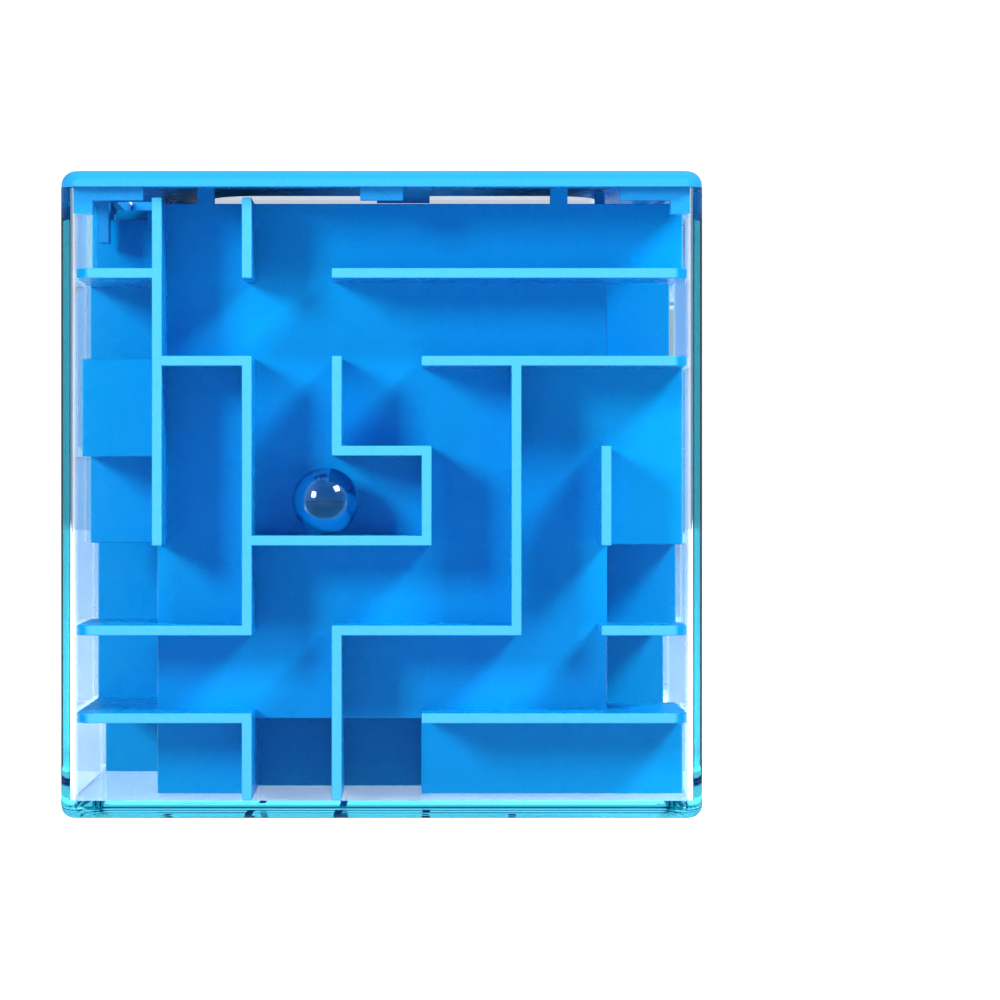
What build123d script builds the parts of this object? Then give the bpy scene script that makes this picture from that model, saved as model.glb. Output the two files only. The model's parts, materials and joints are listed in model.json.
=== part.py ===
from build123d import *
import os

# Maze coin bank: a clear cube round a maze and a cash box, with a ball and a coin lid that locks.
#
# Frame: origin at the centre of the underside, +Z up. The front is -Y, and the side with the
# lock is -X. All sizes are in millimetres.

os.makedirs("parts", exist_ok=True)

# ---------------------------------------------------------------- driving sizes
cube = 90.0                 # width of the clear box and of the lid
box_rim = 88.4              # height of the clear box, where the lid sits
lid_top = 90.75             # overall height
box_wall = 1.6
box_floor = 2.5
box_corner = 2.5            # radius of the box's upright edges
box_foot = 1.8              # radius of its bottom edges
clearance = 0.3             # between pieces that slide past each other

wall = 1.4                  # every wall of the maze and of the cash box
pitch = 12.6                # spacing of the maze lines in plan
maze_half = 43.05           # half width over the maze
maze_corner = 2.5
levels = [87.0, 76.4, 64.1, 51.5, 38.9, 26.3, 14.0, box_floor]  # top edge, six shelves, bottom edge

ball_diameter = 9.5
ball_x = -8.0               # where the ball lies on its shelf
ball_y = -37.8
ball_gap = 0.1              # under the ball, so that the two solids stay apart

lid_skin = 1.25             # thickness of the lid inside its rim
lid_corner = 3.0
lid_edge = 2.0
lid_recess_half = 41.5

disc_centre = (3.0, 0.0)    # coin disc, its plate and the coin slot share this centre
disc_diameter = 56.0
disc_flange = 0.7
disc_body_diameter = 49.6
disc_gap = 0.25             # round the disc
seat_gap = 0.05             # under its flange
coin_slot = (3.5, 34.6)
plate_size = 56.0
plate_corner = 7.0
plate_thickness = 0.6
plate_slot_margin = 1.5      # its slot is this much larger than the disc's
plate_top = 88.44

slot_x = -36.3              # the slider's slot in the lid
slot_width = 6.0
slot_front = -17.9
slot_back = 16.6
slot_bevel = 0.6
slot_corner = 1.0
rail = 1.1                  # wall of the guide round the slot, under the lid

knob_front = 7.6            # the knob at rest, near the back end of its slot
knob_back = 16.1
knob_top = 92.3
slide_travel = 25.0

bar_bottom = 86.1
bar_thickness = 1.4
bar_outer = -39.6
bar_inner = -32.5
bar_front = -14.0
bar_back = 36.0
hook_bottom = 81.8
hook_thickness = 1.2
hook_foot = 1.6
keeper_bottom = 83.7
keeper_height = 2.0

cover_bottom = 78.2         # the two covers that hang under the lid on the -X side
cover_wall = 1.2
cover_inner = -34.0
latch_cover_front = -17.0
latch_cover_back = 7.4
corner_cover_front = 17.9

pawl_pivot_y = 4.5
pawl_pivot_z = 82.5
pawl_outer = -40.2
pawl_inner = -37.0
pawl_arm_bottom = 83.0
pawl_arm_thickness = 1.3
pawl_tip = 16.5
pawl_tooth_y = -4.5
pawl_tooth_top = 85.8
pin_diameter = 1.6
pin_clearance = 0.05

# ---------------------------------------------------------------- derived sizes
lid_under = lid_top - lid_skin
box_inner_half = cube / 2 - box_wall
cash_half = 2.5 * pitch + wall / 2
cash_bottom = levels[6] - wall / 2
wall_depth = maze_half - cash_half
bar_top = bar_bottom + bar_thickness
knob_y = (knob_front + knob_back) / 2
slot_y = (slot_front + slot_back) / 2
slot_length = slot_back - slot_front

# Each side of the maze is drawn as seen from outside. Lines 0 to 7 run from left to right, and
# levels 0 to 7 from top to bottom. A shelf runs between two lines, an upright between two levels.
front_shelves = {1: [(0, 1), (3, 7)], 2: [(1, 2), (4, 7)], 3: [(3, 4)], 4: [(2, 4)],
                 5: [(0, 2), (3, 5), (6, 7)], 6: [(0, 2), (4, 7)]}
front_uprights = {1: [(0, 4)], 2: [(0, 1), (2, 5), (6, 7)], 3: [(2, 3), (5, 7)], 4: [(3, 4)],
                  5: [(2, 5)], 6: [(3, 4)]}
left_shelves = {1: [(0, 2), (3, 4), (5, 7)], 2: [(0, 1)], 3: [(0, 1), (4, 6)],
                4: [(0, 1), (2, 3)], 5: [(1, 2), (5, 7)], 6: [(0, 1), (3, 7)]}
left_uprights = {1: [(4, 5)], 2: [(1, 4), (5, 7)], 3: [(1, 2), (3, 4), (5, 7)], 4: [(1, 6)],
                 5: [(1, 2), (3, 4)], 6: [(2, 3)]}
back_shelves = {1: [(0, 1), (2, 4), (5, 7)], 2: [(0, 2), (3, 4), (5, 7)], 3: [(4, 7)],
                4: [(0, 1), (3, 5), (6, 7)], 5: [(0, 1), (3, 4)], 6: [(1, 3), (5, 7)]}
back_uprights = {1: [(1, 2), (3, 4), (5, 6)], 2: [(2, 6)], 3: [(0, 1), (2, 4), (5, 6)],
                 4: [(2, 3), (5, 7)], 5: [(1, 2), (4, 7)], 6: [(0, 1), (4, 6)]}
right_shelves = {1: [(0, 1), (3, 5), (6, 7)], 2: [(0, 3), (5, 7)], 3: [(3, 5)],
                 4: [(1, 2), (4, 5), (6, 7)], 5: [(0, 1), (2, 4), (5, 7)], 6: [(0, 2), (4, 6)]}
right_uprights = {1: [(0, 1), (2, 4), (6, 7)], 2: [(4, 5)], 3: [(1, 2), (3, 4)], 4: [(5, 7)],
                  5: [(0, 1), (2, 3), (4, 5)], 6: [(5, 6)]}
# The maze goes on under the floor of the cash box, seen here from above.
floor_rows = {1: [(1, 2), (4, 6)], 2: [(2, 4)], 3: [(5, 6)], 4: [(1, 3), (4, 5)],
              5: [(4, 6)], 6: [(1, 2), (3, 4)]}
floor_columns = {1: [(2, 3)], 2: [(1, 2)], 3: [(1, 2), (5, 6)], 4: [(1, 2), (4, 5)], 5: [(2, 3)]}


def line(number):
    """Plan position of a maze line: the two outer edges, and six lines one pitch apart."""
    if number == 0:
        return -maze_half
    if number == 7:
        return maze_half
    return (number - 3.5) * pitch


def line_span(first, last):
    """Ends of a wall between two lines, each flush with the far face of a wall on that line."""
    return line(first) - (wall / 2 if first > 0 else 0), line(last) + (wall / 2 if last < 7 else 0)


def level_span(first, last):
    """Lower and upper end of an upright between two levels."""
    return (levels[last] - (wall / 2 if last < 7 else 0), levels[first] + (wall / 2 if first > 0 else 0))


def band(centre):
    """The stretch that a wall's own thickness takes up."""
    return centre - wall / 2, centre + wall / 2


def block(x_low, x_high, y_low, y_high, z_low, z_high, mode=Mode.ADD):
    """A box between stated planes."""
    with BuildSketch(Plane.XY.offset(z_low)) as outline:
        with Locations(((x_low + x_high) / 2, (y_low + y_high) / 2)):
            Rectangle(x_high - x_low, y_high - y_low)
    extrude(outline.sketch, amount=z_high - z_low, mode=mode)


# ---------------------------------------------------------------- clear box
with BuildPart() as clear_box:
    with BuildSketch():
        RectangleRounded(cube, cube, box_corner)
    extrude(amount=box_rim)
    fillet(clear_box.faces().sort_by(Axis.Z)[0].edges(), box_foot)
    with BuildSketch(Plane.XY.offset(box_floor)):
        RectangleRounded(2 * box_inner_half, 2 * box_inner_half, box_corner - box_wall)
    extrude(amount=box_rim - box_floor, mode=Mode.SUBTRACT)

# ---------------------------------------------------------------- cash box and the maze walls round it
side_planes = {
    "front": Plane(origin=(0, -maze_half, 0), x_dir=(1, 0, 0), z_dir=(0, -1, 0)),
    "left": Plane(origin=(-maze_half, 0, 0), x_dir=(0, -1, 0), z_dir=(-1, 0, 0)),
    "back": Plane(origin=(0, maze_half, 0), x_dir=(-1, 0, 0), z_dir=(0, 1, 0)),
    "right": Plane(origin=(maze_half, 0, 0), x_dir=(0, 1, 0), z_dir=(1, 0, 0)),
}
floor_plane = Plane.XY.offset(cash_bottom)
side_walls = {
    "front": (front_shelves, front_uprights),
    "left": (left_shelves, left_uprights),
    "back": (back_shelves, back_uprights),
    "right": (right_shelves, right_uprights),
}
tab_offset = 25.3           # tabs on the rim that steady the lid
tab_width = 2.5
tab_gap = 0.2
tab_top = lid_under - tab_gap
keeper_depth = 1.4
keepers = [(3.0, 6.6), (-32.0, -29.4)]

with BuildPart() as cash_box:
    block(-cash_half, cash_half, -cash_half, cash_half, cash_bottom, levels[0])
    block(-cash_half + wall, cash_half - wall, -cash_half + wall, cash_half - wall,
          cash_bottom + wall, levels[0], Mode.SUBTRACT)
    for x_sign, y_sign in ((1, 0), (0, 1), (0, -1)):
        for offset in (-tab_offset, tab_offset):
            tab_x = x_sign * (cash_half - wall / 2) + abs(y_sign) * offset
            tab_y = y_sign * (cash_half - wall / 2) + x_sign * offset
            half_x = wall / 2 if x_sign else tab_width / 2
            half_y = wall / 2 if y_sign else tab_width / 2
            block(tab_x - half_x, tab_x + half_x, tab_y - half_y, tab_y + half_y, levels[0], tab_top)
    for low, high in keepers:
        block(-cash_half - keeper_depth, -cash_half, low, high,
              keeper_bottom, keeper_bottom + keeper_height)


def merged(spans):
    """Stretches along a line, with those that touch or overlap joined into one."""
    joined = []
    for low, high in sorted(spans):
        if joined and low <= joined[-1][1]:
            joined[-1] = (joined[-1][0], max(high, joined[-1][1]))
        else:
            joined.append((low, high))
    return joined


def without(spans, bands):
    """Stretches along a line, with each band cut out of them."""
    for low, high in bands:
        spans = [piece for start, end in spans
                 for piece in ((start, min(end, low)), (max(start, high), end)) if piece[0] < piece[1]]
    return spans


def crosses(spans, place):
    """True if one of the stretches passes that place."""
    return any(low < place < high for low, high in spans)


def wall_solid(plane, u_span, v_span, depth):
    """One wall as a solid of its own, rounded where it makes an outer corner of the maze."""
    with BuildPart() as piece:
        with BuildSketch(plane):
            with Locations((sum(u_span) / 2, sum(v_span) / 2)):
                Rectangle(u_span[1] - u_span[0], v_span[1] - v_span[0])
        extrude(amount=-depth)
        corners = [edge for edge in piece.edges().filter_by(Axis.Z)
                   if min(abs(edge.center().X), abs(edge.center().Y)) > maze_half - 0.01]
        if corners:
            fillet(corners, maze_corner)
    return piece.solid()


def side_maze(side, left_neighbour=None, right_neighbour=None):
    """The shelves and uprights on one side of the cash box. The two neighbours are the sides whose
    shelves run on into this side's corners, where this side has the corners."""
    shelves, uprights = side_walls[side]
    corners = ((left_neighbour, 7, (-maze_half, -cash_half)), (right_neighbour, 0, (cash_half, maze_half)))
    reach = maze_half if left_neighbour else cash_half
    shelf_spans = {}
    for number in range(1, 7):
        spans = [line_span(*span) for span in shelves.get(number, [])]
        for neighbour, last, corner in corners:
            if neighbour and any(last in span for span in side_walls[neighbour][0].get(number, [])):
                spans.append(corner)
        shelf_spans[number] = [(max(low, -reach), min(high, reach)) for low, high in merged(spans)]
    solids = []
    for number, spans in shelf_spans.items():
        for span in spans:
            if span[0] < span[1]:
                solids.append(wall_solid(side_planes[side], span, band(levels[number]), wall_depth))
    for number, spans in uprights.items():
        met = [band(levels[n]) for n, crossing in shelf_spans.items() if crosses(crossing, line(number))]
        for span in without([level_span(*span) for span in spans], met):
            solids.append(wall_solid(side_planes[side], band(line(number)), span, wall_depth))
    return Compound(solids)


front_maze = side_maze("front", "left", "right")
back_maze = side_maze("back", "right", "left")
left_maze = side_maze("left")
right_maze = side_maze("right")

row_spans = {number: [line_span(*span) for span in spans] for number, spans in floor_rows.items()}
floor_solids = []
for number, spans in row_spans.items():
    for span in spans:
        floor_solids.append(wall_solid(floor_plane, span, band(line(number)), cash_bottom - box_floor))
for number, spans in floor_columns.items():
    met = [band(line(n)) for n, crossing in row_spans.items() if crosses(crossing, line(number))]
    for span in without([line_span(*span) for span in spans], met):
        floor_solids.append(wall_solid(floor_plane, band(line(number)), span, cash_bottom - box_floor))
floor_maze = Compound(floor_solids)

# ---------------------------------------------------------------- ball
ball_radius = ball_diameter / 2
ball_z = levels[4] + wall / 2 + ball_radius + ball_gap
with BuildPart() as ball:
    with BuildSketch(Plane((ball_x, ball_y, ball_z), x_dir=(1, 0, 0), z_dir=(0, -1, 0))):
        with BuildLine():
            CenterArc((0, 0), ball_radius, -90, 180)
            Line((0, ball_radius), (0, -ball_radius))
        make_face()
    revolve(axis=Axis((ball_x, ball_y, 0), (0, 0, 1)))

# ---------------------------------------------------------------- lid
rib_bottom = 86.6           # locating ribs that drop inside the clear box
rib_outer = 43.1
rib_thickness = 1.2
rib_length = 9.7
corner_lug = 2.6
corner_lug_bottom = 84.7
middle_lug = 6.0
seat_diameter = disc_diameter + 2 * disc_gap
seat_floor = lid_top - disc_flange - seat_gap
hole_diameter = disc_body_diameter + 2 * disc_gap
ring_boss_diameter = 58.0
plate_rib_width = 7.6
plate_rib_thickness = 1.25
plate_rib_bottom = 87.4
plate_rib_gap = 0.15
plate_rib_inner = plate_size / 2 + plate_rib_gap
guide_lug = (-41.3, -40.0, -23.5, -19.5, 82.1)      # a lug in front of the latch cover

with BuildPart() as lid:
    with BuildSketch(Plane.XY.offset(box_rim)):
        RectangleRounded(cube, cube, lid_corner)
    extrude(amount=lid_top - box_rim)
    fillet(lid.faces().sort_by(Axis.Z)[-1].edges(), lid_edge)
    block(-lid_recess_half, lid_recess_half, -lid_recess_half, lid_recess_half,
          box_rim, lid_under, Mode.SUBTRACT)
    with BuildSketch(Plane.XY.offset(plate_top)):
        with Locations(disc_centre):
            Circle(ring_boss_diameter / 2)
    extrude(amount=lid_under - plate_top)
    with BuildSketch(Plane.XY.offset(box_rim)):
        with Locations((slot_x, slot_y)):
            Rectangle(slot_width + 2 * rail, slot_length + 2 * rail)
    extrude(amount=lid_under - box_rim)
    for x_sign, y_sign in ((-1, -1), (1, -1), (1, 1)):
        outer_x, outer_y = x_sign * rib_outer, y_sign * rib_outer
        for leg_x, leg_y, foot in ((rib_length, rib_thickness, rib_bottom),
                                   (rib_thickness, rib_length, rib_bottom),
                                   (corner_lug, corner_lug, corner_lug_bottom)):
            inner_x, inner_y = outer_x - x_sign * leg_x, outer_y - y_sign * leg_y
            block(min(inner_x, outer_x), max(inner_x, outer_x),
                  min(inner_y, outer_y), max(inner_y, outer_y), foot, box_rim)
    for y_sign in (-1, 1):
        near, far = sorted((y_sign * (rib_outer - rib_thickness), y_sign * rib_outer))
        block(-middle_lug / 2, middle_lug / 2, near, far, rib_bottom, box_rim)
    block(rib_outer - rib_thickness, rib_outer, -middle_lug / 2, middle_lug / 2, rib_bottom, box_rim)
    for sign in (-1, 1):
        near, far = sorted((sign * plate_rib_inner, sign * (plate_rib_inner + plate_rib_thickness)))
        block(disc_centre[0] - plate_rib_width / 2, disc_centre[0] + plate_rib_width / 2,
              near, far, plate_rib_bottom, lid_under)
        block(disc_centre[0] + near, disc_centre[0] + far,
              -plate_rib_width / 2, plate_rib_width / 2, plate_rib_bottom, lid_under)
    block(*guide_lug, lid_under)
    with BuildSketch(Plane.XY.offset(seat_floor)):
        with Locations(disc_centre):
            Circle(seat_diameter / 2)
    extrude(amount=lid_top - seat_floor, mode=Mode.SUBTRACT)
    with BuildSketch(Plane.XY.offset(plate_top)):
        with Locations(disc_centre):
            Circle(hole_diameter / 2)
    extrude(amount=lid_top - plate_top, mode=Mode.SUBTRACT)
    with BuildSketch(Plane.XY.offset(box_rim)):
        with Locations((slot_x, slot_y)):
            RectangleRounded(slot_width, slot_length, slot_corner)
    extrude(amount=lid_top - box_rim, mode=Mode.SUBTRACT)
    top_edges = lid.faces().filter_by(Plane.XY).sort_by(Axis.Z)[-1].inner_wires().edges()
    slot_edges = top_edges.filter_by(lambda edge: edge.center().X < slot_x + slot_width)
    chamfer(slot_edges, slot_bevel)
    seat_edges = lid.edges().filter_by(GeomType.CIRCLE).filter_by(
        lambda edge: abs(edge.radius - seat_diameter / 2) < 0.01 and edge.center().Z > lid_top - 0.1)
    chamfer(seat_edges, disc_gap)

# ---------------------------------------------------------------- coin disc and its plate
screw_offset = 15.5
screw_radius = 1.0
screw_depth = 1.6
screw_head_radius = 1.9
screw_head_height = 0.9
screw_head_edge = 0.5
screw_cross = (2.2, 0.5)    # arms of the cross recess
screw_cross_depth = 0.5
screw_places = [(disc_centre[0] + i * screw_offset, disc_centre[1] + j * screw_offset)
                for i in (-1, 1) for j in (-1, 1)]

with BuildPart() as coin_disc:
    with BuildSketch(Plane.XY.offset(lid_top - disc_flange)):
        with Locations(disc_centre):
            Circle(disc_diameter / 2)
    extrude(amount=disc_flange)
    with BuildSketch(Plane.XY.offset(plate_top)):
        with Locations(disc_centre):
            Circle(disc_body_diameter / 2)
    extrude(amount=lid_top - disc_flange - plate_top)
    with BuildSketch(Plane.XY.offset(plate_top)):
        with Locations(disc_centre):
            Rectangle(*coin_slot)
    extrude(amount=lid_top - plate_top, mode=Mode.SUBTRACT)
    chamfer(coin_disc.faces().filter_by(Plane.XY).sort_by(Axis.Z)[-1].edges(), disc_gap)
    with BuildSketch(Plane.XY.offset(plate_top)):
        with Locations(*screw_places):
            Circle(screw_radius)
    extrude(amount=screw_depth, mode=Mode.SUBTRACT)

with BuildPart() as disc_plate:
    with BuildSketch(Plane.XY.offset(plate_top - plate_thickness)):
        with Locations(disc_centre):
            RectangleRounded(plate_size, plate_size, plate_corner)
            Rectangle(coin_slot[0] + plate_slot_margin, coin_slot[1] + plate_slot_margin,
                      mode=Mode.SUBTRACT)
        with Locations(*screw_places):
            Circle(screw_radius, mode=Mode.SUBTRACT)
    extrude(amount=plate_thickness)

with BuildPart() as disc_screws:
    with BuildSketch(Plane.XY.offset(plate_top - plate_thickness)):
        with Locations(*screw_places):
            Circle(screw_radius)
    extrude(amount=plate_thickness + screw_depth)
    with BuildSketch(Plane.XY.offset(plate_top - plate_thickness - screw_head_height)):
        with Locations(*screw_places):
            Circle(screw_head_radius)
    extrude(amount=screw_head_height)
    fillet(disc_screws.faces().filter_by(Plane.XY).group_by(Axis.Z)[0].edges(), screw_head_edge)
    with BuildSketch(Plane.XY.offset(plate_top - plate_thickness - screw_head_height)):
        with Locations(*screw_places):
            Rectangle(*screw_cross)
            Rectangle(*reversed(screw_cross))
    extrude(amount=screw_cross_depth, mode=Mode.SUBTRACT)

# ---------------------------------------------------------------- covers under the lid
pad_half_x = slot_width / 2 + 1.0   # the latch bar's pad, which runs wider than the slot
doorway_outer = slot_x - pad_half_x - clearance     # the bar's doorway in each cover's end wall
cover_edge = 0.8
cover_gap = 0.4             # between the corner cover and the cash box
lug_half = 2.0              # the two lugs that hold the pawl's pin
lug_wall = 1.2
pin_end = -35.4

with BuildPart() as latch_cover:
    with BuildSketch(Plane.XY.offset(cover_bottom)):
        with Locations(((-maze_half + cover_inner) / 2, (latch_cover_front + latch_cover_back) / 2)):
            Rectangle(cover_inner + maze_half, latch_cover_back - latch_cover_front)
    extrude(amount=box_rim - cover_bottom)
    outer_edges = latch_cover.edges().filter_by(Axis.Z).group_by(Axis.X)[0]
    fillet(outer_edges, cover_edge)
    block(-maze_half + cover_wall, cover_inner, latch_cover_front + cover_wall, latch_cover_back,
          cover_bottom + cover_wall, box_rim, Mode.SUBTRACT)
    block(doorway_outer, cover_inner, latch_cover_front, latch_cover_front + cover_wall,
          bar_bottom - clearance, box_rim, Mode.SUBTRACT)
    for lug_low, lug_high in ((-maze_half + cover_wall, pawl_outer - clearance),
                              (pin_end - lug_wall, pin_end)):
        block(lug_low, lug_high, pawl_pivot_y - lug_half, pawl_pivot_y + lug_half,
              cover_bottom + cover_wall, pawl_pivot_z + lug_half)
    with BuildSketch(Plane((-maze_half + cover_wall / 2, pawl_pivot_y, pawl_pivot_z),
                           x_dir=(0, 1, 0), z_dir=(1, 0, 0))):
        Circle(pin_diameter / 2)
    extrude(amount=maze_half - cover_wall / 2 + cover_inner, mode=Mode.SUBTRACT)

with BuildPart() as corner_cover:
    with BuildSketch(Plane.XY.offset(cover_bottom)):
        with Locations(((-maze_half - cash_half - cover_gap) / 2, (corner_cover_front + maze_half) / 2)):
            Rectangle(maze_half - cash_half - cover_gap, maze_half - corner_cover_front)
    extrude(amount=box_rim - cover_bottom)
    cover_edges = corner_cover.edges().filter_by(Axis.Z)
    fillet(cover_edges.sort_by_distance((-maze_half, maze_half, cover_bottom))[0], maze_corner)
    fillet(corner_cover.edges().filter_by(Axis.Z).sort_by_distance(
        (-maze_half, corner_cover_front, cover_bottom))[0], cover_edge)
    block(-maze_half + cover_wall, 0, corner_cover_front + cover_wall, maze_half - cover_wall,
          cover_bottom + cover_wall, box_rim, Mode.SUBTRACT)
    block(cover_inner, 0, corner_cover_front, maze_half - cover_wall, cover_bottom, box_rim,
          Mode.SUBTRACT)
    block(doorway_outer, 0, corner_cover_front, corner_cover_front + cover_wall,
          bar_bottom - clearance, box_rim, Mode.SUBTRACT)

# ---------------------------------------------------------------- slider: knob, latch bar and screw
knob_half = slot_width / 2 - clearance / 2
knob_corner = 0.8
knob_edge = 0.9
pad_gap = 0.2               # between the bar's pad and the lid's guide
pad_top = box_rim - pad_gap
bar_screw_radius = 1.0
bar_screw_head = 1.8
stem_screw_depth = 3.2
stem_screw_gap = 0.3        # left free at the bottom of the knob's hole
bar_screw_cross = (1.8, 0.45)
bar_screw_cross_depth = 0.5
tooth_x = (pawl_outer + pawl_inner) / 2
hooks = [(32.0, 35.0), (-4.0, -1.0)]
foot_reach = 4.0
pad_margin = 0.8            # the bar's pad past each end of the knob
notch_half_x = 1.2          # the two notches that the pawl's tooth drops into
notch_half_y = 1.8
notch_lead = 0.4            # the tooth swings this way as it rises

with BuildPart() as slider_knob:
    block(slot_x - knob_half, slot_x + knob_half, knob_front, knob_back, pad_top, knob_top)
    fillet(slider_knob.edges().filter_by(Axis.Z), knob_corner)
    fillet(slider_knob.faces().sort_by(Axis.Z)[-1].edges(), knob_edge)
    with BuildSketch(Plane.XY.offset(pad_top)):
        with Locations((slot_x, knob_y)):
            Circle(bar_screw_radius)
    extrude(amount=stem_screw_depth, mode=Mode.SUBTRACT)

with BuildPart() as latch_bar:
    block(bar_outer, bar_inner, bar_front, bar_back, bar_bottom, bar_top)
    block(slot_x - pad_half_x, slot_x + pad_half_x - clearance,
          knob_front - pad_margin, knob_back + pad_margin, bar_top, pad_top)
    for low, high in hooks:
        block(bar_inner - hook_thickness, bar_inner, low, high, hook_bottom, bar_bottom)
        block(bar_inner - hook_thickness, bar_inner, low - foot_reach, low,
              hook_bottom, hook_bottom + hook_foot)
    for offset in (0, slide_travel):
        centre = pawl_tooth_y + notch_lead + offset
        block(tooth_x - notch_half_x, tooth_x + notch_half_x, centre - notch_half_y, centre + notch_half_y,
              bar_bottom, bar_top, Mode.SUBTRACT)
    with Locations((slot_x, knob_y, bar_bottom)):
        Cylinder(bar_screw_radius, pad_top - bar_bottom, align=(Align.CENTER, Align.CENTER, Align.MIN),
                 mode=Mode.SUBTRACT)
        Cone(bar_screw_head, bar_screw_radius, bar_screw_head - bar_screw_radius,
             align=(Align.CENTER, Align.CENTER, Align.MIN), mode=Mode.SUBTRACT)

with BuildPart() as knob_screw:
    with Locations((slot_x, knob_y, bar_bottom)):
        Cylinder(bar_screw_radius, pad_top - bar_bottom + stem_screw_depth - stem_screw_gap,
                 align=(Align.CENTER, Align.CENTER, Align.MIN))
        Cone(bar_screw_head, bar_screw_radius, bar_screw_head - bar_screw_radius,
             align=(Align.CENTER, Align.CENTER, Align.MIN))
    with BuildSketch(Plane.XY.offset(bar_bottom)):
        with Locations((slot_x, knob_y)):
            Rectangle(*bar_screw_cross)
            Rectangle(*reversed(bar_screw_cross))
    extrude(amount=bar_screw_cross_depth, mode=Mode.SUBTRACT)

# ---------------------------------------------------------------- ball pawl, its pin and spring
boss_radius = 2.4
pawl_width = pawl_inner - pawl_outer
tooth_width = 1.4
tooth_half = 1.0            # half the tooth's length along the bar
pawl_profile = Plane((pawl_outer, 0, 0), x_dir=(0, 1, 0), z_dir=(1, 0, 0))

with BuildPart() as ball_pawl:
    with BuildSketch(pawl_profile):
        with Locations((pawl_pivot_y, pawl_pivot_z)):
            Circle(boss_radius)
        with Locations(((pawl_tip + pawl_tooth_y - tooth_half) / 2,
                        pawl_arm_bottom + pawl_arm_thickness / 2)):
            Rectangle(pawl_tip - pawl_tooth_y + tooth_half, pawl_arm_thickness)
        with Locations((pawl_pivot_y, pawl_pivot_z)):
            Circle(pin_diameter / 2 + pin_clearance, mode=Mode.SUBTRACT)
    extrude(amount=pawl_width)
    block(tooth_x - tooth_width / 2, tooth_x + tooth_width / 2,
          pawl_tooth_y - tooth_half, pawl_tooth_y + tooth_half, pawl_arm_bottom, pawl_tooth_top)

with BuildPart() as pawl_pin:
    with BuildSketch(Plane((-maze_half + cover_wall / 2, pawl_pivot_y, pawl_pivot_z),
                           x_dir=(0, 1, 0), z_dir=(1, 0, 0))):
        Circle(pin_diameter / 2)
    extrude(amount=maze_half - cover_wall / 2 + pin_end)

spring_radius = 1.3
spring_wire = 0.18
spring_turns = 4
spring_offset = 1.2         # from the tooth towards the pivot
spring_foot = cover_bottom + cover_wall
spring_height = pawl_arm_bottom - spring_foot - 2 * spring_wire
with BuildPart() as pawl_spring:
    with BuildLine(Plane((tooth_x, pawl_tooth_y + spring_offset, spring_foot + spring_wire))):
        coil = Helix(spring_height / spring_turns, spring_height, spring_radius)
    with BuildSketch(Plane(coil @ 0, z_dir=coil % 0)):
        Circle(spring_wire)
    sweep(is_frenet=True)

# ---------------------------------------------------------------- labels and files
pieces = {
    "clear_box": clear_box.part, "cash_box": cash_box.part,
    "front_maze": front_maze, "back_maze": back_maze, "left_maze": left_maze,
    "right_maze": right_maze, "floor_maze": floor_maze, "ball": ball.part,
    "lid": lid.part, "coin_disc": coin_disc.part, "disc_plate": disc_plate.part,
    "disc_screws": disc_screws.part, "latch_cover": latch_cover.part,
    "corner_cover": corner_cover.part, "slider_knob": slider_knob.part,
    "latch_bar": latch_bar.part, "knob_screw": knob_screw.part, "ball_pawl": ball_pawl.part,
    "pawl_pin": pawl_pin.part, "pawl_spring": pawl_spring.part,
}
for name, piece in pieces.items():
    piece.label = name
    export_step(piece, f"parts/{name}.step")
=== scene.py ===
"""Looks of the maze coin bank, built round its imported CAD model: a clear cube with a blue maze, a
ball and a coin lid."""
import json
import math
from bisect import bisect_left

import bmesh
import bpy
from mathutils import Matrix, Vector


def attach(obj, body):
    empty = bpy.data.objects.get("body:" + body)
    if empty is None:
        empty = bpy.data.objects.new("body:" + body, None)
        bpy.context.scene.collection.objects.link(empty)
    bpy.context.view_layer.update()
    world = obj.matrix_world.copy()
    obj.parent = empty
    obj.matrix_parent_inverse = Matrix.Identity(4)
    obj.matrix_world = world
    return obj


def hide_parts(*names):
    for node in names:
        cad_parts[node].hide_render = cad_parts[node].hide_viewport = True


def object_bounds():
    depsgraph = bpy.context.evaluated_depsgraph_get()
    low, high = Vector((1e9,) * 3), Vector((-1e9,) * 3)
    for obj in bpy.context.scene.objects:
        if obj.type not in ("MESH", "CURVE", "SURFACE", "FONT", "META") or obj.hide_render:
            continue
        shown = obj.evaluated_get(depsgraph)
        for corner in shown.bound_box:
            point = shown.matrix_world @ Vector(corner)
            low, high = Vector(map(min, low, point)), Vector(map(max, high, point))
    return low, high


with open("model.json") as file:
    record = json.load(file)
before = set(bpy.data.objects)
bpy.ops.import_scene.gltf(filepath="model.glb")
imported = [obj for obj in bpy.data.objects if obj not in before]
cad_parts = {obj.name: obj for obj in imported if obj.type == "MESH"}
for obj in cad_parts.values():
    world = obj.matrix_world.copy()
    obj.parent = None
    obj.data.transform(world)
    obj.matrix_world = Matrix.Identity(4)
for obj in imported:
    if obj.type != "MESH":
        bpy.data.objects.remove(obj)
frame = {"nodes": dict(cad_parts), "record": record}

CAD_LOW, CAD_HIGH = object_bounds()
MM = 0.001
NODES = frame["nodes"]

# ---------------------------------------------------------------- sizes
MAZE_REACH = 43.05 * MM             # from the middle to the maze's outer faces
LID_REACH = 45.0 * MM
INSERT_CORNER = 2.5 * MM            # radius of the maze's outer corners
INSERT_CORNER_SEGMENTS = 6
INSERT_ROUNDING = 0.16 * MM         # radius of all its other outer edges
SHARP = math.radians(40)            # edges that turn more than this are rounded
SAME_PLACE = 0.01 * MM              # faces closer than this lie in one plane
SQUARE = 0.999                      # least part of a normal along its axis on a square-cut face
FLOOR_HALF = 3.0                    # metres
FLOOR_GAP = 0.02 * MM               # below the cube, so that the two faces don't fight

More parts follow.
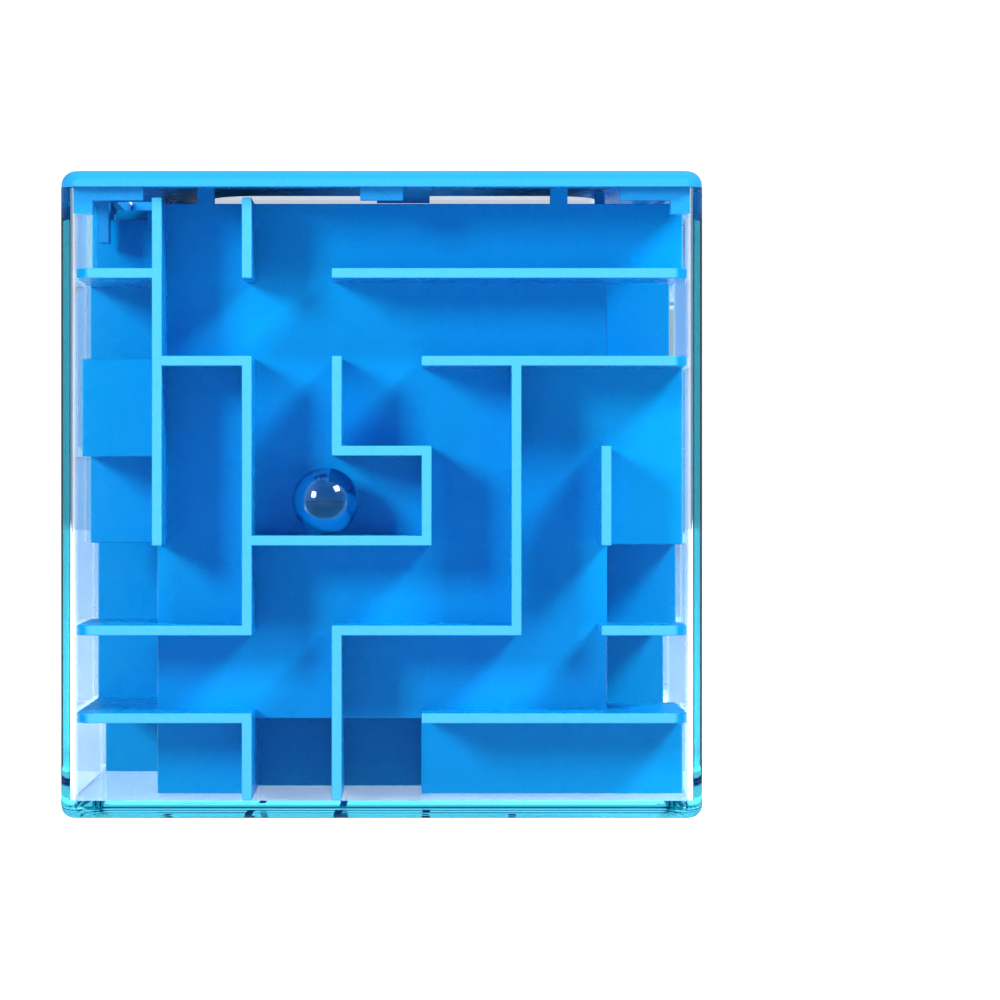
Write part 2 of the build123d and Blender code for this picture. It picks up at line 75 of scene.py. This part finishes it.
# ---------------------------------------------------------------- camera
# The camera looks squarely at the front face, a little right of its middle.
CAMERA_DISTANCE = 478 * MM          # from the front face
CAMERA_SIDE = 4.4 * MM
CAMERA_HEIGHT = 46.7 * MM
LENS = 123.2
SHIFT_X = 0.087
SHIFT_Y = -0.015


def make_camera():
    data = bpy.data.cameras.new("camera")
    data.lens = LENS
    data.sensor_width = 36.0
    data.shift_x = SHIFT_X
    data.shift_y = SHIFT_Y
    data.clip_start = 0.01
    data.clip_end = 50.0
    camera = bpy.data.objects.new("camera", data)
    bpy.context.scene.collection.objects.link(camera)
    camera.location = (CAMERA_SIDE, CAD_LOW.y - CAMERA_DISTANCE, CAMERA_HEIGHT)
    camera.rotation_euler = (math.radians(90), 0, 0)
    bpy.context.scene.camera = camera


# ---------------------------------------------------------------- node helpers
class Shader:
    """A material under construction, with short ways to add and join its nodes."""

    def __init__(self, name):
        self.material = bpy.data.materials.new(name)
        self.material.use_nodes = True
        self.tree = self.material.node_tree
        self.tree.nodes.clear()
        self.output = self.node("ShaderNodeOutputMaterial")

    def node(self, kind, **settings):
        made = self.tree.nodes.new(kind)
        for key, value in settings.items():
            setattr(made, key, value)
        return made

    def set(self, node, **values):
        """Sets sockets by name, or links them where the value is an output socket."""
        for key, value in values.items():
            socket = node.inputs[key.replace("_", " ")]
            if isinstance(value, bpy.types.NodeSocket):
                self.tree.links.new(value, socket)
            else:
                socket.default_value = value
        return node

    def position(self):
        return self.node("ShaderNodeTexCoord").outputs["Object"]

    def noise(self, scale, detail=2.0, roughness=0.5, vector=None):
        made = self.node("ShaderNodeTexNoise")
        self.set(made, Scale=scale, Detail=detail, Roughness=roughness, Vector=vector or self.position())
        return made.outputs["Fac"]

    def math(self, operation, first, second=0.0, third=None):
        made = self.node("ShaderNodeMath", operation=operation)
        for index, value in enumerate((first, second, third)):
            if value is None:
                continue
            if isinstance(value, bpy.types.NodeSocket):
                self.tree.links.new(value, made.inputs[index])
            else:
                made.inputs[index].default_value = value
        return made.outputs[0]

    def remap(self, value, low, high, to_low=0.0, to_high=1.0):
        made = self.node("ShaderNodeMapRange", clamp=True)
        self.tree.links.new(value, made.inputs["Value"])
        for key, number in (("From Min", low), ("From Max", high), ("To Min", to_low), ("To Max", to_high)):
            made.inputs[key].default_value = number
        return made.outputs["Result"]

    def blend(self, factor, first, second):
        """Mixes two colours."""
        made = self.node("ShaderNodeMix", data_type="RGBA")
        for socket, value in zip((made.inputs[0], made.inputs[6], made.inputs[7]), (factor, first, second)):
            if isinstance(value, bpy.types.NodeSocket):
                self.tree.links.new(value, socket)
            else:
                socket.default_value = value
        return made.outputs[2]

    def bump(self, height, strength, distance):
        made = self.node("ShaderNodeBump")
        return self.set(made, Strength=strength, Distance=distance, Height=height).outputs["Normal"]

    def finish(self, shader, volume=None):
        self.tree.links.new(shader, self.output.inputs["Surface"])
        if volume:
            self.tree.links.new(volume, self.output.inputs["Volume"])
        return self.material


# ---------------------------------------------------------------- materials
def blue_plastic(name, deep, edge, outer, roughness, gloss):
    """Gloss moulded plastic. Surfaces that lie close to the outer faces get a painted highlight: their
    colour is mixed towards a paler edge colour, found by their place, to stand in for light at the thin
    outer edges."""
    s = Shader(name)
    place = s.position()
    split = s.node("ShaderNodeSeparateXYZ")
    s.set(split, Vector=place)
    reach = s.math("MAXIMUM", s.math("ABSOLUTE", split.outputs["X"]),
                   s.math("ABSOLUTE", split.outputs["Y"]))
    # painted highlight: surfaces near the outer faces are mixed towards the paler edge colour
    painted_edge_highlight = s.remap(reach, outer - 0.25 * MM, outer - 0.05 * MM)
    cloud = s.noise(38.0, 3.0)
    body = s.blend(s.remap(cloud, 0.3, 0.7), deep, [c * 1.05 for c in deep[:3]] + [1.0])
    colour = s.blend(painted_edge_highlight, body, edge)
    grain = s.noise(5200.0, 1.0)
    flow = s.noise(240.0, 3.0)
    principled = s.node("ShaderNodeBsdfPrincipled")
    s.set(principled, Base_Color=colour,
          Roughness=s.remap(flow, 0.3, 0.7, roughness - 0.05, roughness + 0.06),
          Normal=s.bump(s.math("MULTIPLY_ADD", grain, 0.3, flow), 0.06, 0.05 * MM))
    principled.inputs["IOR"].default_value = 1.53
    principled.inputs["Specular IOR Level"].default_value = gloss
    principled.inputs["Specular Tint"].default_value = (0.55, 0.8, 1.0, 1.0)
    return s.finish(principled.outputs["BSDF"])


def clear_plastic(name):
    """Polished clear plastic, faintly blue through its length. Lamps and soft light pass straight in."""
    s = Shader(name)
    ripple = s.noise(55.0, 2.0)
    glass = s.node("ShaderNodeBsdfPrincipled")
    s.set(glass, Roughness=s.remap(s.noise(900.0, 2.0), 0.4, 0.7, 0.0, 0.02),
          Normal=s.bump(ripple, 0.02, 0.15 * MM))
    glass.inputs["Base Color"].default_value = (1.0, 1.0, 1.0, 1.0)
    glass.inputs["Transmission Weight"].default_value = 1.0
    glass.inputs["IOR"].default_value = 1.49
    window = s.node("ShaderNodeBsdfTransparent")
    window.inputs["Color"].default_value = (0.96, 0.985, 1.0, 1.0)
    rays = s.node("ShaderNodeLightPath")
    soft = s.node("ShaderNodeMixShader")
    s.tree.links.new(rays.outputs["Is Diffuse Ray"], soft.inputs[0])
    s.tree.links.new(glass.outputs["BSDF"], soft.inputs[1])
    s.tree.links.new(window.outputs["BSDF"], soft.inputs[2])
    lamps = s.node("ShaderNodeMixShader")
    s.tree.links.new(rays.outputs["Is Shadow Ray"], lamps.inputs[0])
    s.tree.links.new(soft.outputs[0], lamps.inputs[1])
    s.tree.links.new(window.outputs["BSDF"], lamps.inputs[2])
    tint = s.node("ShaderNodeVolumeAbsorption")
    tint.inputs["Color"].default_value = (0.1, 0.84, 0.93, 1.0)
    tint.inputs["Density"].default_value = 30.0
    return s.finish(lamps.outputs[0], tint.outputs["Volume"])


def natural_plastic(name, glow):
    """Milky polypropylene. With a glow above zero it carries a painted glow: emission seen only by camera
    and transmission rays, standing in for light gathered in a thin sheet.
    """
    s = Shader(name)
    cloud = s.noise(90.0, 3.0)
    principled = s.node("ShaderNodeBsdfPrincipled")
    s.set(principled, Base_Color=s.blend(cloud, (0.86, 0.88, 0.9, 1), (0.95, 0.96, 0.97, 1)),
          Roughness=s.remap(s.noise(700.0), 0.3, 0.7, 0.35, 0.5),
          Normal=s.bump(s.noise(2600.0), 0.1, 0.03 * MM))
    principled.inputs["Emission Color"].default_value = (0.97, 0.99, 1.0, 1.0)
    # painted glow: emission seen only by camera and transmission rays, so it lights nothing else
    rays = s.node("ShaderNodeLightPath")
    seen = s.math("MAXIMUM", rays.outputs["Is Camera Ray"], rays.outputs["Is Transmission Ray"])
    s.set(principled, Emission_Strength=s.math("MULTIPLY", seen, glow))
    return s.finish(principled.outputs["BSDF"])


def ball_steel(name):
    """Polished bearing steel with faint lapping scratches. Its base colour is tinted dark blue, a painted
    reflection of the blue maze around it.
    """
    s = Shader(name)
    stretched = s.node("ShaderNodeMapping")
    s.set(stretched, Vector=s.position())
    stretched.inputs["Scale"].default_value = (1.0, 1.0, 9.0)
    scratch = s.noise(1800.0, 4.0, 0.6, stretched.outputs["Vector"])
    principled = s.node("ShaderNodeBsdfPrincipled")
    # the dark blue tint of the steel colour is a painted reflection of the blue maze; the scratches set its
    # two tones
    s.set(principled, Base_Color=s.blend(scratch, (0.3, 0.42, 0.6, 1), (0.36, 0.48, 0.66, 1)),
          Roughness=s.remap(scratch, 0.35, 0.7, 0.05, 0.14),
          Normal=s.bump(scratch, 0.02, 0.01 * MM))
    principled.inputs["Metallic"].default_value = 1.0
    return s.finish(principled.outputs["BSDF"])


def plated_steel(name):
    """Zinc-plated steel of screws, pin and spring."""
    s = Shader(name)
    spangle = s.noise(1500.0, 3.0)
    principled = s.node("ShaderNodeBsdfPrincipled")
    s.set(principled, Base_Color=s.blend(spangle, (0.5, 0.51, 0.53, 1), (0.66, 0.67, 0.69, 1)),
          Roughness=s.remap(spangle, 0.3, 0.7, 0.2, 0.38))
    principled.inputs["Metallic"].default_value = 1.0
    return s.finish(principled.outputs["BSDF"])


def floor_paper(name):
    """White paper on a light table. Seen straight or through the cube it glows to pure white, while
    gloss mirrors it dim on the near side of the cube and bright on the far side."""
    s = Shader(name)
    fibre = s.noise(60.0, 4.0)
    paper = s.node("ShaderNodeBsdfDiffuse")
    rays = s.node("ShaderNodeLightPath")
    straight = s.math("LESS_THAN", rays.outputs["Glossy Depth"], 0.5)
    place = s.node("ShaderNodeSeparateXYZ")
    s.set(place, Vector=s.position())
    deep = s.math("GREATER_THAN", rays.outputs["Glossy Depth"], 1.5)
    far_side = s.math("MAXIMUM", s.remap(place.outputs["Y"], -60 * MM, 20 * MM), deep)
    mirrored = s.blend(far_side, (0.02, 0.08, 0.16, 1), (0.9, 0.93, 0.96, 1))
    white = s.blend(fibre, (0.95, 0.95, 0.95, 1), (0.98, 0.98, 0.98, 1))
    lit = s.blend(rays.outputs["Is Diffuse Ray"], white, (0.45, 0.47, 0.5, 1))
    s.set(paper, Color=s.blend(straight, mirrored, lit))
    glow = s.node("ShaderNodeEmission")
    through = s.math("MULTIPLY", rays.outputs["Is Transmission Ray"], 1.5)
    seen = s.math("MULTIPLY_ADD", rays.outputs["Is Camera Ray"], 1.1, through)
    shown = s.math("MULTIPLY", seen, s.math("MAXIMUM", straight, far_side))
    s.set(glow, Strength=s.math("MULTIPLY_ADD", rays.outputs["Is Diffuse Ray"], 0.32, shown))
    s.material.cycles.emission_sampling = "NONE"
    both = s.node("ShaderNodeAddShader")
    s.tree.links.new(paper.outputs[0], both.inputs[0])
    s.tree.links.new(glow.outputs[0], both.inputs[1])
    return s.finish(both.outputs[0])


# ---------------------------------------------------------------- geometry helpers
def distinct(places):
    """Sorted places, with those that hardly differ taken as one."""
    kept = []
    for place in sorted(places):
        if not kept or place - kept[-1] > SAME_PLACE:
            kept.append(place)
    return kept


def inside(point, corners):
    """True if the point lies in the triangle, all in plan."""
    turns = []
    for (ax, ay), (bx, by) in zip(corners, corners[1:] + corners[:1]):
        turns.append((bx - ax) * (point[1] - ay) - (by - ay) * (point[0] - ax) > 0)
    return all(turns) or not any(turns)


def square_moulding(name, nodes, corner, rounding):
    """Square-cut CAD nodes as one moulding, without the joins between their solids. Space is cut into
    cells along all their flat faces, the cells between floors and tops are filled, and the skin of the
    filled cells is the moulding. Its outer corners are rounded, and then its edges."""
    faces = []
    for node in nodes:
        mesh = NODES[node].data
        mesh.calc_loop_triangles()
        for triangle in mesh.loop_triangles:
            faces.append((triangle.normal.copy(), [mesh.vertices[i].co.copy() for i in triangle.vertices]))
    planes = [distinct(corners[0][axis] for normal, corners in faces if abs(normal[axis]) > SQUARE)
              for axis in range(3)]

    def first_at(axis, place):
        return bisect_left(planes[axis], place - SAME_PLACE)

    # For each column of cells, the layers where solids begin and end. Each cell is tried a little off
    # its middle, so that no trial point lies on the line between two triangles.
    changes = {}
    for normal, corners in faces:
        if abs(normal.z) < SQUARE:
            continue
        layer = first_at(2, corners[0].z)
        plan = [(point.x, point.y) for point in corners]
        lows = [max(first_at(axis, min(p[axis] for p in plan)) - 1, 0) for axis in (0, 1)]
        highs = [min(first_at(axis, max(p[axis] for p in plan)) + 1, len(planes[axis]) - 1)
                 for axis in (0, 1)]
        for i in range(lows[0], highs[0]):
            for j in range(lows[1], highs[1]):
                sample = (planes[0][i] * 0.53 + planes[0][i + 1] * 0.47,
                          planes[1][j] * 0.44 + planes[1][j + 1] * 0.56)
                if inside(sample, plan):
                    column = changes.setdefault((i, j), {})
                    column[layer] = column.get(layer, 0) + (1 if normal.z < 0 else -1)
    filled = set()
    for (i, j), column in changes.items():
        depth = 0
        for layer in range(len(planes[2])):
            depth += column.get(layer, 0)
            if depth > 0:
                filled.add((i, j, layer))

    cut = bmesh.new()
    points = {}
    for cell in sorted(filled):
        for axis in range(3):
            for side in (0, 1):
                beside = list(cell)
                beside[axis] += 2 * side - 1
                if tuple(beside) in filled:
                    continue
                loop = []
                for step_a, step_b in ((0, 0), (1, 0), (1, 1), (0, 1)):
                    key = list(cell)
                    key[axis] += side
                    key[(axis + 1) % 3] += step_a
                    key[(axis + 2) % 3] += step_b
                    key = tuple(key)
                    if key not in points:
                        points[key] = cut.verts.new([planes[k][key[k]] for k in range(3)])
                    loop.append(points[key])
                cut.faces.new(loop if side else loop[::-1])
    cut.normal_update()
    bmesh.ops.dissolve_limit(cut, angle_limit=math.radians(1.0), verts=cut.verts[:], edges=cut.edges[:])
    reach = max(abs(vert.co.x) for vert in cut.verts)
    outer = [edge for edge in cut.edges
             if all(min(abs(v.co.x), abs(v.co.y)) > reach - 2 * SAME_PLACE for v in edge.verts)]
    bmesh.ops.bevel(cut, geom=outer, offset=corner, segments=INSERT_CORNER_SEGMENTS, affect="EDGES",
                    profile=0.5)
    cut.normal_update()
    weights = cut.edges.layers.float.new("bevel_weight_edge")
    for edge in cut.edges:
        if edge.is_manifold and edge.calc_face_angle_signed(0.0) > SHARP:
            edge[weights] = 1.0
    mesh = bpy.data.meshes.new(name)
    cut.to_mesh(mesh)
    cut.free()
    piece = bpy.data.objects.new(name, mesh)
    bpy.context.scene.collection.objects.link(piece)
    bevel = piece.modifiers.new("rounding", "BEVEL")
    bevel.width = rounding
    bevel.segments = 2
    bevel.limit_method = "WEIGHT"
    bevel.use_clamp_overlap = False
    bevel.harden_normals = True
    graph = bpy.context.evaluated_depsgraph_get()
    rounded = bpy.data.meshes.new_from_object(piece.evaluated_get(graph))
    piece.modifiers.clear()
    piece.data = rounded
    return piece


def give(piece, material):
    piece.data.materials.clear()
    piece.data.materials.append(material)


def dress(node, material):
    """Gives a CAD node that stays a better material."""
    for holder in NODES[node].material_slots:
        holder.material = material


# ---------------------------------------------------------------- stage
def make_floor():
    mesh = bpy.data.meshes.new("floor")
    corners = [(x * FLOOR_HALF, y * FLOOR_HALF, 0) for x, y in ((-1, -1), (1, -1), (1, 1), (-1, 1))]
    mesh.from_pydata(corners, [], [(0, 1, 2, 3)])
    floor = bpy.data.objects.new("floor", mesh)
    bpy.context.scene.collection.objects.link(floor)
    floor.location.z = CAD_LOW.z - FLOOR_GAP
    floor.visible_glossy = False        # the cube's gloss mirrors the dim studio instead
    give(floor, floor_paper("floor_paper"))


def softbox(name, azimuth, elevation, distance, width, height, watts, mirrored):
    """An area light aimed at the middle of the cube. Azimuth 0 is in front, 90 to the right. It is
    either one that gloss mirrors, or one that only lights."""
    data = bpy.data.lights.new(name, "AREA")
    data.shape = "RECTANGLE"
    data.size = width
    data.size_y = height
    data.energy = watts
    lamp = bpy.data.objects.new(name, data)
    bpy.context.scene.collection.objects.link(lamp)
    turn, tilt = math.radians(azimuth), math.radians(elevation)
    away = Vector((math.sin(turn) * math.cos(tilt), -math.cos(turn) * math.cos(tilt), math.sin(tilt)))
    lamp.location = (CAD_LOW + CAD_HIGH) / 2 + away * distance
    lamp.rotation_euler = (-away).to_track_quat("-Z", "Y").to_euler()
    lamp.visible_glossy = mirrored


def make_studio():
    """Three softboxes, each split into a part that only lights and a weaker one that gloss mirrors, and
    a world that is white where it is seen and dim where it is mirrored."""
    for name, azimuth, elevation, distance, width, height, watts, sparkle in (
            ("left_softbox", -40, 20, 0.75, 0.16, 0.2, 4.2, 0.2),
            ("right_softbox", 48, 39, 0.75, 0.2, 0.2, 5.7, 0.12),
            ("top_softbox", 160, 62, 0.9, 0.5, 0.5, 3.0, 0.2)):
        softbox(name, azimuth, elevation, distance, width, height, watts * (1 - sparkle), False)
        softbox(name + "_sparkle", azimuth, elevation, distance, width, height, watts * sparkle, True)
    world = bpy.data.worlds.new("studio")
    bpy.context.scene.world = world
    world.use_nodes = True
    tree = world.node_tree
    tree.nodes.clear()
    rays = tree.nodes.new("ShaderNodeLightPath")

    def math_node(operation, first, second):
        made = tree.nodes.new("ShaderNodeMath")
        made.operation = operation
        for index, value in enumerate((first, second)):
            if isinstance(value, bpy.types.NodeSocket):
                tree.links.new(value, made.inputs[index])
            else:
                made.inputs[index].default_value = value
        return made.outputs[0]

    def background(colour, strength):
        made = tree.nodes.new("ShaderNodeBackground")
        made.inputs["Color"].default_value = colour
        made.inputs["Strength"].default_value = strength
        return made.outputs[0]

    def choose(factor, first, second):
        made = tree.nodes.new("ShaderNodeMixShader")
        for index, value in enumerate((factor, first, second)):
            tree.links.new(value, made.inputs[index])
        return made.outputs[0]

    depth = rays.outputs["Glossy Depth"]
    way = tree.nodes.new("ShaderNodeSeparateXYZ")
    tree.links.new(tree.nodes.new("ShaderNodeTexCoord").outputs["Generated"], way.inputs[0])
    behind = tree.nodes.new("ShaderNodeMapRange")
    behind.inputs["From Min"].default_value = -0.25
    behind.inputs["From Max"].default_value = 0.1
    tree.links.new(way.outputs["Y"], behind.inputs["Value"])
    deep = math_node("GREATER_THAN", depth, 1.5)     # light that ran along inside a clear wall
    around = choose(behind.outputs[0], background((0.04, 0.36, 1.0, 1), 0.4),
                    background((0.6, 0.8, 1.0, 1), 0.4))
    mirrored = choose(deep, around, background((0.97, 0.98, 1.0, 1), 1.0))
    lit = choose(rays.outputs["Is Diffuse Ray"], mirrored, background((0.45, 0.72, 1.0, 1), 0.16))
    direct = math_node("MAXIMUM", rays.outputs["Is Camera Ray"], rays.outputs["Is Transmission Ray"])
    seen = math_node("MULTIPLY", direct, math_node("LESS_THAN", depth, 0.5))
    whole = choose(seen, lit, background((1, 1, 1, 1), 1.1))
    output = tree.nodes.new("ShaderNodeOutputWorld")
    tree.links.new(whole, output.inputs["Surface"])
    bpy.context.scene.view_settings.view_transform = "Standard"
    bounces = bpy.context.scene.cycles
    bounces.max_bounces = 24            # light runs far along the clear walls
    bounces.glossy_bounces = 20
    bounces.transmission_bounces = 20


# ---------------------------------------------------------------- the object
make_camera()
make_studio()
make_floor()

# the second colour of each blue is its painted edge highlight, shown near the outer faces
BLUE = blue_plastic("moulded_blue", (0.0, 0.32, 0.72, 1), (0.09, 0.5, 0.78, 1), MAZE_REACH, 0.28, 0.3)
LID_BLUE = blue_plastic("moulded_lid_blue", (0.02, 0.33, 0.74, 1), (0.035, 0.38, 0.76, 1),
                        LID_REACH, 0.25, 0.5)
CLEAR = clear_plastic("clear_moulding")
NATURAL = natural_plastic("natural_moulding", 0.0)
# the disc plate's thin sheet gets a painted glow
PAINTED_GLOW_SHEET = natural_plastic("natural_sheet_painted_glow", 0.65)
STEEL_BALL_PAINTED_REFLECTION = ball_steel("polished_ball_painted_reflection")
STEEL = plated_steel("plated_steel")

SLOT_MATERIAL = {"blue_plastic": BLUE, "lid_plastic": LID_BLUE, "clear_plastic": CLEAR,
                 "natural_plastic": NATURAL, "ball_steel": STEEL_BALL_PAINTED_REFLECTION, "steel": STEEL}
for part in frame["record"]["subparts"]:
    dress(part["node"], SLOT_MATERIAL[part["material_slot"]])
dress("disc_plate", PAINTED_GLOW_SHEET)

MOULDED = ["cash_box", "front_maze", "back_maze", "left_maze", "right_maze", "floor_maze"]
insert = square_moulding("insert_moulding", MOULDED, INSERT_CORNER, INSERT_ROUNDING)
give(insert, BLUE)
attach(insert, "box")
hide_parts(*MOULDED)
